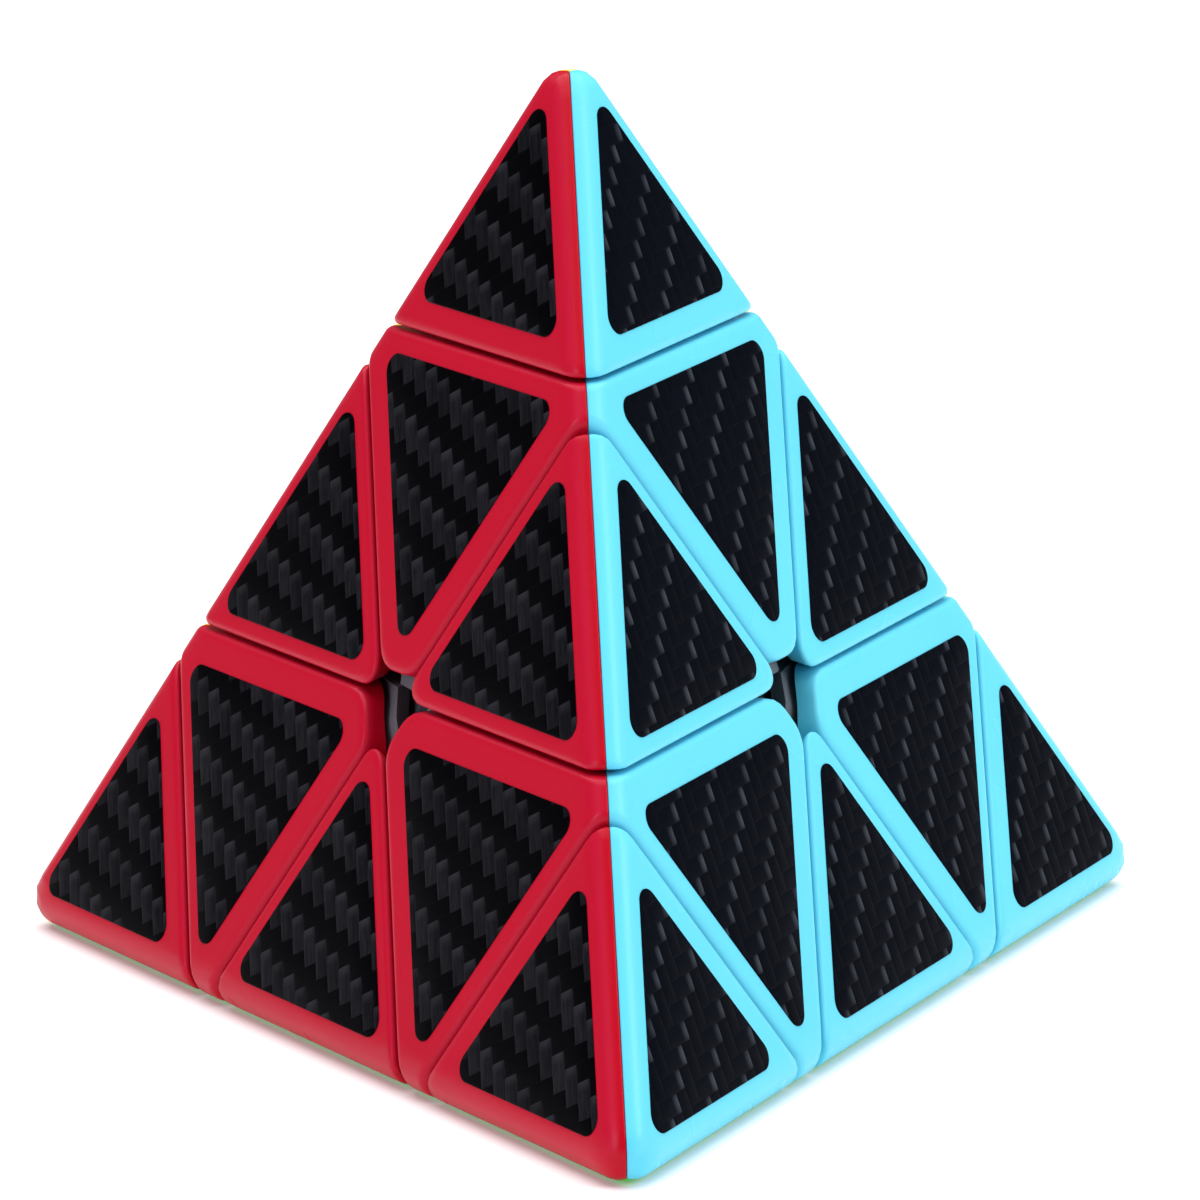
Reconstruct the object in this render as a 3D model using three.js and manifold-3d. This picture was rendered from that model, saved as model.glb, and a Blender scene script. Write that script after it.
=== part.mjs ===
// Pyramid twisty puzzle: a tetrahedron cut in thirds, in millimetres, +Z up.
// The origin is the centre of the core, where the four turning axes cross. It stands on its green face.
// A core with four arms carries four sprung hubs. Each hub turns on its screw and carries three
// coloured shells (the centre piece of a corner) and, clipped on its end, a tip that turns by itself.
// Six edge pieces sit between the hubs; their feet run in the round channel under the hubs' skirts.
import * as THREE from "three";
import { ConvexGeometry } from "three/addons/geometries/ConvexGeometry.js";
import { mergeVertices } from "three/addons/utils/BufferGeometryUtils.js";
import Module from "manifold-3d";

// ---- Overall size ----
const EDGE_LENGTH = 98; // of the whole puzzle, measured over two rounded corners
const EDGE_ROUND = 2.6; // radius of the six long edges and the four corners
const RIM_ROUND = 1.2; // radius round the rim of every piece

// ---- Cuts ----
const CENTRE_OPENING = 0.64; // how far each layer cut stands off the middle of a face
const STRIP_LENGTH = 4; // of long edge that a centre piece shows between a tip and an edge piece
const RUNNING_GAP = 0.36; // between pieces that slide past each other
const PART_GAP = 0.3; // between pieces fixed to each other

// ---- Coloured shells ----
const WALL = 2; // thickness of a shell
const CORNER_TRIM = 0.6; // how far the in-plane corners of a piece are eased
const CENTRE_TRIM = 1.3; // how far the corners that meet in the middle of a face are eased

// ---- Edge feet and the channel they run in ----
const CHANNEL_DEPTH = 4.5; // from a face to the outside of the feet
const FOOT_ANGLE = 76; // degrees from a turning axis to the side of a foot
const FOOT_ANGLE_GAP = 1.6; // degrees between the feet of a layer and the feet beside it
const SKIRT_WALL = 2; // thickness of a hub's skirt
const SKIRT_ANGLE = 70; // degrees the skirt reaches down from its axis before it is trimmed
const NECK_WIDTH = 14; // of a foot's neck, square to the long edge
const POST_THICKNESS = 2.2; // of the post that holds an edge piece's shells
const POST_WIDTH = 5.5;
const POST_HEIGHT = 6.5; // above the channel

// ---- Core, screws and springs ----
const CORE_RADIUS = 6.5;
const ARM_RADIUS = 4.2;
const ARM_TOP = 12; // from the centre to the end of an arm
const SCREW_RADIUS = 1.5; // of the shank
const SCREW_BITE = 4.3; // length of shank inside an arm
const SCREW_POINT = 0.8; // length of the shank's tapered end
const HEAD_RADIUS = 3.3;
const HEAD_HEIGHT = 2.4;
const HEAD_CHAMFER = 0.5;
const HEAD_PLAY = 0.4; // round the head inside the hub
const HEAD_ROOM = 1.8; // above the head
const RECESS_WIDTH = 0.9; // of the cross recess
const RECESS_LENGTH = 3.8;
const RECESS_DEPTH = 1.4;
const SPRING_RADIUS = 2.55; // to the middle of the wire
const SPRING_WIRE = 0.45; // radius of the wire
const SPRING_PITCH = 1.6;

// ---- Hubs ----
const HUB_WALL = 1.8;
const FLOOR_THICKNESS = 2.5;
const STEM_LENGTH = 5.4; // of a tip's stem inside its hub
const STEM_CHAMFER = 0.6;
const FLANGE_THICKNESS = 1.8;
const TIP_POST_RADIUS = 2.2;
const INSIDE_ROOM = 0.7; // between a tip's hub and the inside of its shells

// ---- Places that follow from the sizes above ----
const COS_HALF = Math.sqrt(1 / 3); // of the angle between a turning axis and the middle of an edge
const SIN_HALF = Math.sqrt(2 / 3);
const AXES_ANGLE = THREE.MathUtils.radToDeg(Math.acos(-1 / 3));
const FACE_DISTANCE = (EDGE_LENGTH - 2 * EDGE_ROUND) / (2 * Math.sqrt(6)) + EDGE_ROUND;
const CREST_DISTANCE = (FACE_DISTANCE - EDGE_ROUND) / COS_HALF + EDGE_ROUND;
const LAYER_CUT = FACE_DISTANCE / 3 + CENTRE_OPENING;
const TIP_CUT = 2 * CREST_DISTANCE * COS_HALF - LAYER_CUT + STRIP_LENGTH * SIN_HALF;
const BORE_RADIUS = HEAD_RADIUS + HEAD_PLAY;
const HUB_RADIUS = BORE_RADIUS + HUB_WALL;
const FOOT_OUTER = FACE_DISTANCE - CHANNEL_DEPTH;
const FOOT_INNER = (HUB_RADIUS + 2 * RUNNING_GAP) /
  Math.sin(THREE.MathUtils.degToRad(AXES_ANGLE - FOOT_ANGLE));
const SKIRT_INNER = FOOT_OUTER + RUNNING_GAP;
const SKIRT_OUTER = SKIRT_INNER + SKIRT_WALL;
const SHELL_INNER = SKIRT_OUTER + PART_GAP;
const FLOOR_BOTTOM = ARM_TOP + PART_GAP;
const FLOOR_TOP = FLOOR_BOTTOM + FLOOR_THICKNESS;
const CENTRE_ROOF_BOTTOM = TIP_CUT - RUNNING_GAP / 2 - WALL;
const HUB_TOP = CENTRE_ROOF_BOTTOM - PART_GAP;
const STEM_RADIUS = BORE_RADIUS - PART_GAP;
const STEM_HOLE_RADIUS = STEM_RADIUS + PART_GAP;
const STEM_BOTTOM = HUB_TOP - STEM_LENGTH;
const HEAD_TOP = STEM_BOTTOM - HEAD_ROOM;
const HEAD_BOTTOM = HEAD_TOP - HEAD_HEIGHT;
const SCREW_END = ARM_TOP - SCREW_BITE;
const SPRING_BOTTOM = FLOOR_TOP + PART_GAP;
const SPRING_TOP = HEAD_BOTTOM - PART_GAP;
const TIP_FLOOR_BOTTOM = TIP_CUT + RUNNING_GAP / 2;
const TIP_FLOOR_TOP = TIP_FLOOR_BOTTOM + WALL;
const FLANGE_BOTTOM = TIP_FLOOR_TOP + PART_GAP;
const FLANGE_TOP = FLANGE_BOTTOM + FLANGE_THICKNESS;
// The inside of a tip narrows towards its point: this is the radius that fits at a height, and the reverse.
const ROOM_APEX = 3 * (FACE_DISTANCE - WALL);
const ROOM_SLOPE = Math.sqrt(8);
const FLANGE_RADIUS = (ROOM_APEX - FLANGE_TOP) / ROOM_SLOPE - INSIDE_ROOM;
const TIP_POST_TOP = ROOM_APEX - (TIP_POST_RADIUS + INSIDE_ROOM) * ROOM_SLOPE;

// ---- Fineness of the facets ----
const ROUND_SEGMENTS = 16;
const ROUNDING_STEPS = ["001", "011", "111", "112"]; // directions of the facets round a rim
const SPHERE_SEGMENTS = 20;
const SPRING_STEPS = 44;
// A faceted hollow of this radius times HOLLOW still clears a ball of the radius itself.
const HOLLOW = 1 / Math.cos(Math.PI / SPHERE_SEGMENTS) ** 2;

// ---- The tetrahedron's directions ----
const CORNERS = {
  top: new THREE.Vector3(0, 0, 1),
  front: new THREE.Vector3(0, -Math.sqrt(8) / 3, -1 / 3),
  right: new THREE.Vector3(Math.sqrt(2 / 3), Math.sqrt(2) / 3, -1 / 3),
  left: new THREE.Vector3(-Math.sqrt(2 / 3), Math.sqrt(2) / 3, -1 / 3),
};
// A face is named by its colour, and lies opposite one corner.
const FACES = {
  red: { opposite: "right", colour: 0xc4122f },
  blue: { opposite: "left", colour: 0x5fdcf7 },
  green: { opposite: "top", colour: 0x55d83e },
  yellow: { opposite: "front", colour: 0xf6d01f },
};
const CORNER_NAMES = Object.keys(CORNERS);

// Unit vector along the sum of some vectors.
function along(...vectors) {
  const sum = new THREE.Vector3();
  for (const v of vectors) sum.add(v);
  return sum.normalize();
}

// The four corner directions seen from a piece's own frame.
// Corner frame: its axis is +Z and the face in hand looks towards +X.
const SIN_AXES = Math.sqrt(8) / 3;
const cornerFrame = {
  own: new THREE.Vector3(0, 0, 1),
  away: new THREE.Vector3(-SIN_AXES, 0, -1 / 3),
  sides: [1, -1].map(
    (s) => new THREE.Vector3(SIN_AXES / 2, (s * SIN_AXES * Math.sqrt(3)) / 2, -1 / 3),
  ),
};
// Edge frame: outwards is +Z, the edge runs along Y, and the face in hand looks towards +X.
const edgeFrame = {
  ends: [1, -1].map((s) => new THREE.Vector3(0, s * Math.sqrt(2 / 3), Math.sqrt(1 / 3))),
  away: new THREE.Vector3(-Math.sqrt(2 / 3), 0, -Math.sqrt(1 / 3)),
  near: new THREE.Vector3(Math.sqrt(2 / 3), 0, -Math.sqrt(1 / 3)),
};

// ---- Solids ----
const wasm = await Module();
wasm.setup();

// A closed three.js geometry as a solid for cutting and joining.
function solid(geometry) {
  const bare = new THREE.BufferGeometry();
  const source = geometry.index ? geometry.toNonIndexed() : geometry;
  bare.setAttribute("position", source.getAttribute("position"));
  const merged = mergeVertices(bare, 1e-4);
  return new wasm.Manifold(
    new wasm.Mesh({
      numProp: 3,
      vertProperties: new Float32Array(merged.attributes.position.array),
      triVerts: new Uint32Array(merged.index.array),
    }),
  );
}

// A solid back as a three.js geometry with flat shading.
function geometryOf(made) {
  const mesh = made.getMesh();
  const positions = new Float32Array(mesh.numVert * 3);
  for (let i = 0; i < mesh.numVert; i++) {
    const at = i * mesh.numProp;
    positions.set(mesh.vertProperties.subarray(at, at + 3), i * 3);
  }
  const indexed = new THREE.BufferGeometry();
  indexed.setAttribute("position", new THREE.BufferAttribute(positions, 3));
  indexed.setIndex(new THREE.BufferAttribute(new Uint32Array(mesh.triVerts), 1));
  const geometry = indexed.toNonIndexed();
  geometry.computeVertexNormals();
  return geometry;
}

const BLOCK = 6 * FACE_DISTANCE;

// Everything on the near side of a plane: normal . p <= distance.
function below(normal, distance) {
  const block = new THREE.BoxGeometry(BLOCK, BLOCK, BLOCK);
  block.translate(0, 0, distance - BLOCK / 2);
  const turn = new THREE.Quaternion().setFromUnitVectors(new THREE.Vector3(0, 0, 1), normal);
  return solid(block.applyQuaternion(turn));
}

// Everything on the far side of a plane: normal . p >= distance.
function above(normal, distance) {
  return below(normal.clone().negate(), -distance);
}

// Keeps what lies inside every one of the cutters.
function keep(body, ...cutters) {
  return cutters.reduce((left, cutter) => left.intersect(cutter), body);
}

function cut(body, ...cutters) {
  return cutters.reduce((left, cutter) => left.subtract(cutter), body);
}

function ball(radius) {
  return solid(new THREE.SphereGeometry(radius, SPHERE_SEGMENTS, SPHERE_SEGMENTS / 2));
}

// A body turned round the Z axis from (radius, height) pairs, listed anticlockwise.
function turned(profile, segments = ROUND_SEGMENTS) {
  const points = [...profile, profile[0]].map(([x, y]) => new THREE.Vector2(x, y));
  const geometry = new THREE.LatheGeometry(points, segments);
  return solid(geometry.rotateX(Math.PI / 2));
}

// A solid cone with its point in the centre, opening along an axis.
function cone(axis, degrees) {
  const reach = BLOCK / 2;
  const angle = THREE.MathUtils.degToRad(degrees);
  const rim = new THREE.Vector2(reach * Math.sin(angle), reach * Math.cos(angle));
  const profile = [new THREE.Vector2(0, 0), rim, new THREE.Vector2(0, rim.y)];
  const geometry = new THREE.LatheGeometry(profile, SPHERE_SEGMENTS);
  const turn = new THREE.Quaternion().setFromUnitVectors(new THREE.Vector3(0, 1, 0), axis);
  return solid(geometry.applyQuaternion(turn));
}

// The corner points of a solid.
function cornersOf(made) {
  const mesh = made.getMesh();
  const points = [];
  for (let i = 0; i < mesh.numVert; i++) {
    points.push(new THREE.Vector3().fromArray(mesh.vertProperties, i * mesh.numProp));
  }
  return points;
}

// Takes a flat off the corner that lies furthest along a direction.
function eased(body, direction, depth) {
  const furthest = Math.max(...cornersOf(body).map((p) => p.dot(direction)));
  return keep(body, below(direction, furthest - depth));
}

// Rounds every edge of a convex body outwards by a radius: the hull of small balls set on its corners.
function rounded(body, radius, axes) {
  const square = axes.slice(1).map((a) => along(axes[0], a));
  const steps = [-2, -1, 0, 1, 2];
  const directions = [];
  for (const i of steps) {
    for (const j of steps) {
      for (const k of steps) {
        const sizes = [i, j, k].map(Math.abs).sort().join("");
        if (!ROUNDING_STEPS.includes(sizes)) continue;
        const direction = new THREE.Vector3();
        direction.addScaledVector(square[0], i);
        direction.addScaledVector(square[1], j);
        direction.addScaledVector(square[2], k);
        directions.push(direction.normalize());
      }
    }
  }
  const points = [];
  for (const corner of cornersOf(body)) {
    for (const d of directions) points.push(corner.clone().addScaledVector(d, radius));
  }
  return solid(new ConvexGeometry(points));
}

// The whole tetrahedron shrunk by an inset, with its long edges taken off flat.
function tetrahedron(axes, inset) {
  const faceAt = FACE_DISTANCE - inset;
  const corner = FACE_DISTANCE * 3 - EDGE_ROUND * 2 - inset;
  let body = below(axes[0], corner);
  for (const axis of axes.slice(1)) body = keep(body, below(axis, corner));
  for (const axis of axes) body = keep(body, above(axis, -faceAt));
  const flatAt = (FACE_DISTANCE - EDGE_ROUND) * Math.sqrt(3) + EDGE_ROUND - inset;
  axes.forEach((a, i) => {
    for (const b of axes.slice(i + 1)) body = keep(body, below(along(a, b), flatAt));
  });
  return body;
}

// ---- Shells of the tips ----
function tipShell() {
  const { own, away, sides } = cornerFrame;
  const axes = [own, away, ...sides];
  let core = keep(tetrahedron(axes, RIM_ROUND), above(own, TIP_FLOOR_BOTTOM + RIM_ROUND));
  for (const axis of [away, ...sides]) {
    core = eased(core, along(along(own, axis), own.clone().negate()), CORNER_TRIM);
  }
  const body = rounded(core, RIM_ROUND, axes);
  const room = keep(tetrahedron(axes, WALL), above(own, TIP_FLOOR_TOP));
  const hole = turned([
    [0, HUB_TOP],
    [STEM_HOLE_RADIUS, HUB_TOP],
    [STEM_HOLE_RADIUS, FLANGE_TOP],
    [0, FLANGE_TOP],
  ]);
  return third(cut(body, room, hole));
}

// The third of a corner piece that belongs to the face in hand, with half a gap left at each parting.
function third(body) {
  const { away, sides } = cornerFrame;
  return keep(body, ...sides.map((side) => above(along(side, away.clone().negate()), PART_GAP / 2)));
}

// ---- Shells of the centre pieces ----
function centreShell() {
  const { own, away, sides } = cornerFrame;
  const axes = [own, away, ...sides];
  const others = [away, ...sides];
  const box = (body, inset) =>
    keep(
      body,
      below(own, TIP_CUT - RUNNING_GAP / 2 - inset),
      above(own, LAYER_CUT + RUNNING_GAP / 2 + inset),
      ...others.map((axis) => below(axis, LAYER_CUT - RUNNING_GAP / 2 - inset)),
    );
  let core = box(tetrahedron(axes, RIM_ROUND), RIM_ROUND);
  for (const axis of others) {
    const crest = along(own, axis);
    const inwards = along(own.clone().negate(), axis.clone().multiplyScalar(-1 / 3));
    core = eased(core, along(crest, own), CORNER_TRIM);
    core = eased(core, along(crest, axis), CORNER_TRIM);
    core = eased(core, inwards, CENTRE_TRIM);
  }
  const body = rounded(core, RIM_ROUND, axes);
  const room = box(tetrahedron(axes, WALL), WALL);
  const hole = turned([
    [0, HUB_TOP],
    [STEM_HOLE_RADIUS, HUB_TOP],
    [STEM_HOLE_RADIUS, TIP_FLOOR_TOP],
    [0, TIP_FLOOR_TOP],
  ]);
  return third(cut(body, room, hole, ball(SHELL_INNER * HOLLOW)));
}

// ---- Shells of the edge pieces ----
function edgeShell() {
  const { ends, away, near } = edgeFrame;
  const axes = [...ends, away, near];
  const box = (body, inset) =>
    keep(body, ...ends.map((end) => above(end, LAYER_CUT + RUNNING_GAP / 2 + inset)));
  let core = box(tetrahedron(axes, RIM_ROUND), RIM_ROUND);
  const outwards = along(...ends);
  for (const end of ends) {
    const other = ends.find((e) => e !== end).clone().negate();
    core = eased(core, along(outwards, other, other), CORNER_TRIM);
  }
  for (const [a, b] of [[away, near], [near, away]]) {
    core = eased(core, along(a, b.clone().multiplyScalar(1 / 3)), CENTRE_TRIM);
  }
  const body = rounded(core, RIM_ROUND, axes);
  const room = box(tetrahedron(axes, WALL), WALL);
  const half = above(new THREE.Vector3(1, 0, 0), PART_GAP / 2);
  return keep(cut(body, room, ball(SHELL_INNER * HOLLOW), post(PART_GAP)), half);
}

// ---- Foot of an edge piece: a sector of the channel, a neck and a post ----
function edgeFoot() {
  const { ends, away, near } = edgeFrame;
  const channel = cut(ball(FOOT_OUTER), ball(FOOT_INNER));
  const sector = cut(
    keep(channel, ...ends.map((end) => cone(end, FOOT_ANGLE))),
    cone(away, FOOT_ANGLE + FOOT_ANGLE_GAP),
    cone(near, FOOT_ANGLE + FOOT_ANGLE_GAP),
  );
  const neckBox = new THREE.BoxGeometry(NECK_WIDTH, BLOCK / 3, SKIRT_OUTER);
  const sides = ends.map((end) => above(end, LAYER_CUT + RUNNING_GAP / 2));
  const neck = cut(
    keep(solid(neckBox.translate(0, 0, SKIRT_OUTER / 2)), ball(SKIRT_OUTER), ...sides),
    ball(FOOT_OUTER - SKIRT_WALL),
  );
  return sector.add(neck).add(post(0));
}

// The post on a foot's neck, grown all round by a margin.
function post(margin) {
  const width = POST_WIDTH + 2 * margin;
  const thickness = POST_THICKNESS + 2 * margin;
  const height = POST_HEIGHT + SKIRT_WALL + 2 * margin;
  const box = new THREE.BoxGeometry(width, thickness, height);
  return solid(box.translate(0, 0, SKIRT_OUTER + (POST_HEIGHT - SKIRT_WALL) / 2));
}

// ---- Hub of a centre piece: floor, tube and skirt ----
function hub() {
  const { own, away, sides } = cornerFrame;
  const arc = (radius, from, to, count) =>
    Array.from({ length: count + 1 }, (_, i) => {
      const angle = from + ((to - from) * i) / count;
      return [radius * Math.sin(angle), radius * Math.cos(angle)];
    });
  const end = THREE.MathUtils.degToRad(SKIRT_ANGLE);
  const inside = Math.asin(HUB_RADIUS / (SKIRT_INNER * HOLLOW));
  const outside = Math.asin(HUB_RADIUS / SKIRT_OUTER);
  const screwHole = SCREW_RADIUS + PART_GAP;
  const profile = [
    [screwHole, FLOOR_BOTTOM],
    [HUB_RADIUS, FLOOR_BOTTOM],
    ...arc(SKIRT_INNER * HOLLOW, inside, end, 3),
    ...arc(SKIRT_OUTER, end, outside, 3),
    [HUB_RADIUS, HUB_TOP],
    [BORE_RADIUS, HUB_TOP],
    [BORE_RADIUS, FLOOR_TOP],
    [screwHole, FLOOR_TOP],
  ];
  return keep(
    turned(profile, SPHERE_SEGMENTS),
    above(own, LAYER_CUT + RUNNING_GAP / 2),
    ...[away, ...sides].map((axis) => below(axis, LAYER_CUT - RUNNING_GAP / 2)),
  );
}

// ---- Hub of a tip: stem, flange and post ----
function tipHub() {
  return turned([
    [0, STEM_BOTTOM],
    [STEM_RADIUS - STEM_CHAMFER, STEM_BOTTOM],
    [STEM_RADIUS, STEM_BOTTOM + STEM_CHAMFER],
    [STEM_RADIUS, FLANGE_BOTTOM],
    [FLANGE_RADIUS, FLANGE_BOTTOM],
    [FLANGE_RADIUS, FLANGE_TOP],
    [TIP_POST_RADIUS, FLANGE_TOP],
    [TIP_POST_RADIUS, TIP_POST_TOP],
    [0, TIP_POST_TOP],
  ]);
}

// ---- Screw with a wide head and a cross recess ----
function screw() {
  const body = turned([
    [0, SCREW_END],
    [SCREW_RADIUS / 2, SCREW_END],
    [SCREW_RADIUS, SCREW_END + SCREW_POINT],
    [SCREW_RADIUS, HEAD_BOTTOM],
    [HEAD_RADIUS, HEAD_BOTTOM],
    [HEAD_RADIUS, HEAD_TOP - HEAD_CHAMFER],
    [HEAD_RADIUS - HEAD_CHAMFER, HEAD_TOP],
    [0, HEAD_TOP],
  ], 12);
  const slot = (x, y) =>
    solid(new THREE.BoxGeometry(x, y, 2 * RECESS_DEPTH).translate(0, 0, HEAD_TOP));
  return cut(body, slot(RECESS_LENGTH, RECESS_WIDTH), slot(RECESS_WIDTH, RECESS_LENGTH));
}

// ---- Compression spring between the hub's floor and the screw head ----
class Helix extends THREE.Curve {
  getPoint(t, target = new THREE.Vector3()) {
    const rise = SPRING_TOP - SPRING_BOTTOM - 2 * SPRING_WIRE;
    const angle = (2 * Math.PI * rise * t) / SPRING_PITCH;
    const height = SPRING_BOTTOM + SPRING_WIRE + rise * t;
    return target.set(SPRING_RADIUS * Math.cos(angle), SPRING_RADIUS * Math.sin(angle), height);
  }
}

function spring() {
  const section = new THREE.Shape();
  section.absarc(0, 0, SPRING_WIRE, 0, 2 * Math.PI);
  const wire = new THREE.ExtrudeGeometry(section, {
    extrudePath: new Helix(),
    steps: SPRING_STEPS,
    curveSegments: 3,
    bevelEnabled: false,
  });
  return solid(wire);
}

// ---- Core: a ball with four bored arms ----
function core() {
  const arm = turned([
    [0, 0],
    [ARM_RADIUS, 0],
    [ARM_RADIUS, ARM_TOP],
    [0, ARM_TOP],
  ]);
  const bore = turned([
    [0, SCREW_END - PART_GAP],
    [SCREW_RADIUS + PART_GAP, SCREW_END - PART_GAP],
    [SCREW_RADIUS + PART_GAP, BLOCK / 4],
    [0, BLOCK / 4],
  ], ROUND_SEGMENTS / 2);
  let body = ball(CORE_RADIUS);
  for (const name of CORNER_NAMES) {
    body = body.add(arm.transform(cornerMatrix(name, facesOf([name])[0]).elements));
  }
  for (const name of CORNER_NAMES) {
    body = body.subtract(bore.transform(cornerMatrix(name, facesOf([name])[0]).elements));
  }
  return body;
}

// ---- Placing ----
// The colours of the faces that touch all the given corners.
function facesOf(corners) {
  return Object.keys(FACES).filter((face) => !corners.includes(FACES[face].opposite));
}

// The frame whose Z is an outward direction and whose X leans towards a face.
function frameFor(outwards, face) {
  const z = outwards.clone();
  const x = CORNERS[FACES[face].opposite].clone().negate();
  x.addScaledVector(z, -x.dot(z)).normalize();
  const y = new THREE.Vector3().crossVectors(z, x);
  return new THREE.Matrix4().makeBasis(x, y, z);
}

function cornerMatrix(corner, face) {
  return frameFor(CORNERS[corner], face);
}

function edgeMatrix(a, b, face) {
  return frameFor(along(CORNERS[a], CORNERS[b]), face);
}

const LOOKS = {
  dark: { color: 0x2b2c2f, roughness: 0.5, metalness: 0 },
  grey: { color: 0x9a9b9e, roughness: 0.45, metalness: 0 },
  steel: { color: 0xb9bcc0, roughness: 0.3, metalness: 1 },
};
for (const [face, { colour }] of Object.entries(FACES)) {
  LOOKS[face] = { color: colour, roughness: 0.35, metalness: 0 };
}

const puzzle = new THREE.Group();
puzzle.name = "pyramid_twisty_puzzle";

function place(name, geometry, matrix, look) {
  const mesh = new THREE.Mesh(geometry, new THREE.MeshStandardMaterial(LOOKS[look]));
  mesh.name = name;
  mesh.quaternion.setFromRotationMatrix(matrix);
  puzzle.add(mesh);
}

const shapes = {
  tipShell: geometryOf(tipShell()),
  centreShell: geometryOf(centreShell()),
  edgeShell: geometryOf(edgeShell()),
  edgeFoot: geometryOf(edgeFoot()),
  hub: geometryOf(hub()),
  tipHub: geometryOf(tipHub()),
  screw: geometryOf(screw()),
  spring: geometryOf(spring()),
};

place("core", geometryOf(core()), new THREE.Matrix4(), "dark");
for (const corner of CORNER_NAMES) {
  const faces = facesOf([corner]);
  const straight = cornerMatrix(corner, faces[0]);
  place("screw_" + corner, shapes.screw, straight, "steel");
  place("spring_" + corner, shapes.spring, straight, "steel");
  place("hub_" + corner, shapes.hub, straight, "grey");
  place("tip_hub_" + corner, shapes.tipHub, straight, "grey");
  for (const face of faces) {
    place(`centre_${corner}_${face}`, shapes.centreShell, cornerMatrix(corner, face), face);
    place(`tip_${corner}_${face}`, shapes.tipShell, cornerMatrix(corner, face), face);
  }
}
CORNER_NAMES.forEach((a, i) => {
  for (const b of CORNER_NAMES.slice(i + 1)) {
    const faces = facesOf([a, b]);
    place(`foot_${a}_${b}`, shapes.edgeFoot, edgeMatrix(a, b, faces[0]), "grey");
    for (const face of faces) {
      place(`edge_${a}_${b}_${face}`, shapes.edgeShell, edgeMatrix(a, b, face), face);
    }
  }
});

export default puzzle;
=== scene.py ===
# %% [markdown]
# # A pyramid twisty puzzle
# The puzzle is a tetrahedron cut in thirds. Every coloured shell is a flat plate with rounded rims and
# walls that run in towards the core, and each one carries a black carbon-pattern sticker.
# The solids of the frame already hold the inside: core, screws, springs, hubs and feet. This lesson
# replaces the coloured shells with finer ones, adds the stickers, and gives everything its finish.

# %% Load the frame
from itertools import combinations
from math import atan2, cos, pi, radians, sin, sqrt

import bpy
import numpy as np
from mathutils import Matrix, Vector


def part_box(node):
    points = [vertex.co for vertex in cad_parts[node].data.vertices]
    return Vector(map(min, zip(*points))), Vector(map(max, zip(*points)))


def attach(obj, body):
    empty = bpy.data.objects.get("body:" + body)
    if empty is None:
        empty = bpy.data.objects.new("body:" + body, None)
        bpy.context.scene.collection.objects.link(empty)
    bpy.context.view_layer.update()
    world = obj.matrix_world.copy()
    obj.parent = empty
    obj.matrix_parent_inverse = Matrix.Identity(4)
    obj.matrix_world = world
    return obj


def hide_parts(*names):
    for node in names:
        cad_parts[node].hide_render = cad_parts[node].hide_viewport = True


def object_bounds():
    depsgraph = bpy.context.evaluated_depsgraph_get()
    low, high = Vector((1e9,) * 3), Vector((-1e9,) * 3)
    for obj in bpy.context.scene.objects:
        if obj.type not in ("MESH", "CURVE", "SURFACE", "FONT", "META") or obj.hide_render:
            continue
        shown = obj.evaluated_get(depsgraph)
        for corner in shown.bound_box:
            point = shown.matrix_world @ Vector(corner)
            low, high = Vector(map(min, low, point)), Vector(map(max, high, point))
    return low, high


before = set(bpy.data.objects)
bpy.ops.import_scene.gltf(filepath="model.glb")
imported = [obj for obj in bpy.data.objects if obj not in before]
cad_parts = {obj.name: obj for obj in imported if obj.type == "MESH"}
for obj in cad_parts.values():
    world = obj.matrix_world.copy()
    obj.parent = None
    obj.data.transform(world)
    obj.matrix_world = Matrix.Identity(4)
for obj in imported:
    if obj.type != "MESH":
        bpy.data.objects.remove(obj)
cad_low, cad_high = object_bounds()
MM = 0.001
print("CAD box in mm:", np.round((np.array(cad_high) - np.array(cad_low)) / MM, 2))

# %% [markdown]
# ## The four directions
# A regular tetrahedron is told by four unit vectors from its centre to its corners. Any two of them
# meet at the angle whose cosine is -1/3. A face lies opposite each corner, so the outward direction of
# a face is the corner's vector turned round. The puzzle's faces are named by their colours.

# %% Corners and faces
AXIS = {
    "top": np.array([0, 0, 1.0]),
    "front": np.array([0, -sqrt(8) / 3, -1 / 3]),
    "right": np.array([sqrt(2 / 3), sqrt(2) / 3, -1 / 3]),
    "left": np.array([-sqrt(2 / 3), sqrt(2) / 3, -1 / 3]),
}
OPPOSITE = {"red": "right", "blue": "left", "green": "top", "yellow": "front"}
CORNERS = list(AXIS)


def unit(vector):
    """A vector divided by its own length."""
    return np.asarray(vector, float) / np.linalg.norm(vector)


def faces_of(*corners):
    """The colours of the faces that touch all the given corners."""
    return [face for face, corner in OPPOSITE.items() if corner not in corners]


def turn_to(outwards, face):
    """The rotation whose Z is an outward direction and whose X leans towards a face.
    X is what is left of the face's outward direction once its part along Z is taken away."""
    z = unit(outwards)
    x = -AXIS[OPPOSITE[face]]
    x = unit(x - z * (x @ z))
    return np.column_stack([x, np.cross(z, x), z])


# %% [markdown]
# ## Sizes read from the frame
# A height along a turning axis is the same for all four corners, so the top corner gives them all:
# where the tips start, where the centre pieces end, and where the layers are cut. The lowest level of
# an edge piece of the top layer is the layer's floor.

# %% Heights along a turning axis
FACE = -cad_low[2]
TIP_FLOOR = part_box("tip_top_red")[0][2]
CENTRE_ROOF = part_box("centre_top_red")[1][2]
LAYER_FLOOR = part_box("edge_top_front_red")[0][2]
GAP = TIP_FLOOR - CENTRE_ROOF
TIP_CUT = (TIP_FLOOR + CENTRE_ROOF) / 2
LAYER_CUT = LAYER_FLOOR - GAP / 2
print("face, layer cut, tip cut in mm:", np.round(np.array([FACE, LAYER_CUT, TIP_CUT]) / MM, 2))


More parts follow.
